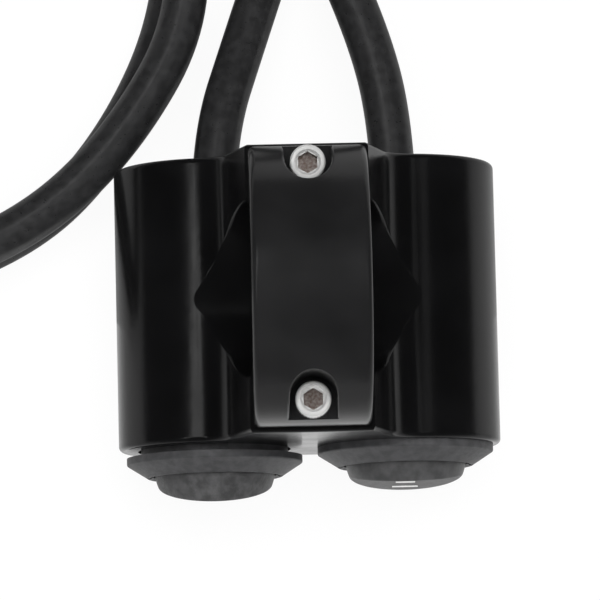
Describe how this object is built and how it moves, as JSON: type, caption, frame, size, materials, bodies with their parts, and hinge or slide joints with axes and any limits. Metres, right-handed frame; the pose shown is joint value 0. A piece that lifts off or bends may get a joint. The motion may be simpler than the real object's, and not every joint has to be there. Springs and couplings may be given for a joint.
{
  "type": "handlebar switch cluster",
  "caption": "Twin barrel switch housing with a bolted handlebar clamp, round rocker switches and cables.",
  "frame": {"origin": "centre of the handlebar bore, midway between the two barrels", "axes": "+X along the handlebar, +Y along the barrels towards the cables, +Z towards the clamp strap"},
  "size_m": [0.1378, 0.1378, 0.0538],
  "materials": {
    "black_enamel": "gloss",
    "strap_enamel": "satin",
    "screw_steel": "satin",
    "switch_plastic": "satin",
    "rocker_plastic": "matt",
    "contact_copper": "satin",
    "terminal_brass": "satin",
    "spring_steel": "satin",
    "sleeve_vinyl": "satin",
    "core_vinyl": "satin",
    "cable_vinyl": "satin",
    "grommet_rubber": "matt",
    "tie_nylon": "satin"
  },
  "bodies": {
    "housing": {"housing": "black_enamel", "clamp_strap": "strap_enamel", "strap_screws": "screw_steel", "loop_ties": "tie_nylon", "left_switch_case": "switch_plastic", "left_terminals": "terminal_brass", "left_terminal_sleeves": "sleeve_vinyl", "left_core_wires": "core_vinyl", "left_grommet": "grommet_rubber", "left_cable_stop": "tie_nylon", "left_cable": "cable_vinyl", "left_cable_tails": "core_vinyl", "right_switch_case": "switch_plastic", "right_terminals": "terminal_brass", "right_terminal_sleeves": "sleeve_vinyl", "right_core_wires": "core_vinyl", "right_grommet": "grommet_rubber", "right_cable_stop": "tie_nylon", "right_cable": "cable_vinyl", "right_cable_tails": "core_vinyl"},
    "left_rocker": {"left_rocker": "rocker_plastic", "left_plunger": "switch_plastic", "left_plunger_spring": "spring_steel"},
    "right_rocker": {"right_rocker": "rocker_plastic", "right_plunger": "switch_plastic", "right_plunger_spring": "spring_steel"},
    "left_contact": {"left_contact_blade": "contact_copper"},
    "right_contact": {"right_contact_blade": "contact_copper"}
  },
  "joints": [
    {"name": "left_rocker_tilt", "type": "hinge", "parent": "housing", "child": "left_rocker", "pos_m": [-0.0125, -0.0203, -0.0234], "axis": [1, 0, 0], "range_deg": [-20, 0]},
    {"name": "right_rocker_tilt", "type": "hinge", "parent": "housing", "child": "right_rocker", "pos_m": [0.0125, -0.0194, -0.0234], "axis": [1, 0, 0], "range_deg": [-10, 10]},
    {"name": "left_contact_tilt", "type": "hinge", "parent": "housing", "child": "left_contact", "pos_m": [-0.0125, -0.011, -0.0234], "axis": [1, 0, 0], "range_deg": [0, 16]},
    {"name": "right_contact_tilt", "type": "hinge", "parent": "housing", "child": "right_contact", "pos_m": [0.0125, -0.0101, -0.0234], "axis": [1, 0, 0], "range_deg": [-8, 8]}
  ],
  "couplings": [
    {"joint": "left_contact_tilt", "follows": "left_rocker_tilt", "ratio": -0.8},
    {"joint": "right_contact_tilt", "follows": "right_rocker_tilt", "ratio": -0.8}
  ]
}
